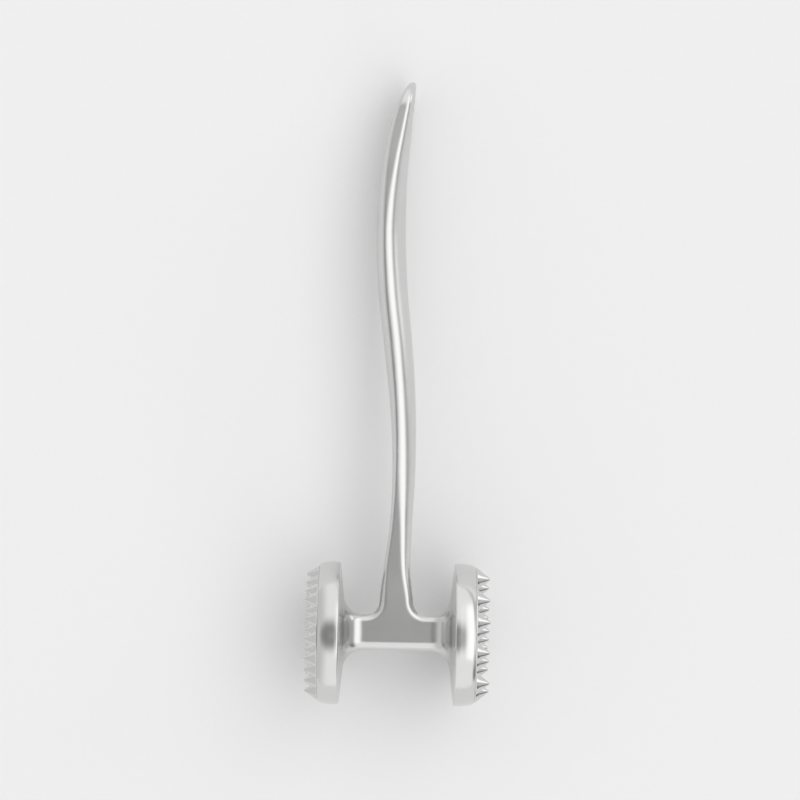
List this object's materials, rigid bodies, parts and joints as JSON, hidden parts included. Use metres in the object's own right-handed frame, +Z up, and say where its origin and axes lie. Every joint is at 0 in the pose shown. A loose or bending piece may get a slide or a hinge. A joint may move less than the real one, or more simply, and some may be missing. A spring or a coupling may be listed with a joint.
{
  "type": "meat tenderiser mallet",
  "caption": "Double-headed meat tenderiser mallet with a crossbar, round heads with coarse and fine pointed teeth, and a curved handle with a hanging hole.",
  "frame": {"origin": "under the middle of the whole tool's bounding box, on the surface that the tool lies on", "axes": "+X along the head axis towards the head with coarse teeth, +Y along the handle towards its tip, +Z up from the surface. The tool rests on both rims and on the end of its handle, so the handle slopes down by 4.6 degrees towards +Y."},
  "size_m": [0.0712, 0.2428, 0.055],
  "materials": {
    "polished_steel": "polished",
    "spring_steel": "satin"
  },
  "bodies": {
    "root": {"handle_frame": "polished_steel", "left_drum": "polished_steel", "right_drum": "polished_steel", "left_tooth_plate": "polished_steel", "right_tooth_plate": "polished_steel", "left_stud": "spring_steel", "right_stud": "spring_steel", "left_spring_washer": "spring_steel", "right_spring_washer": "spring_steel", "left_dowel_pin": "spring_steel", "right_dowel_pin": "spring_steel"}
  },
  "joints": []
}
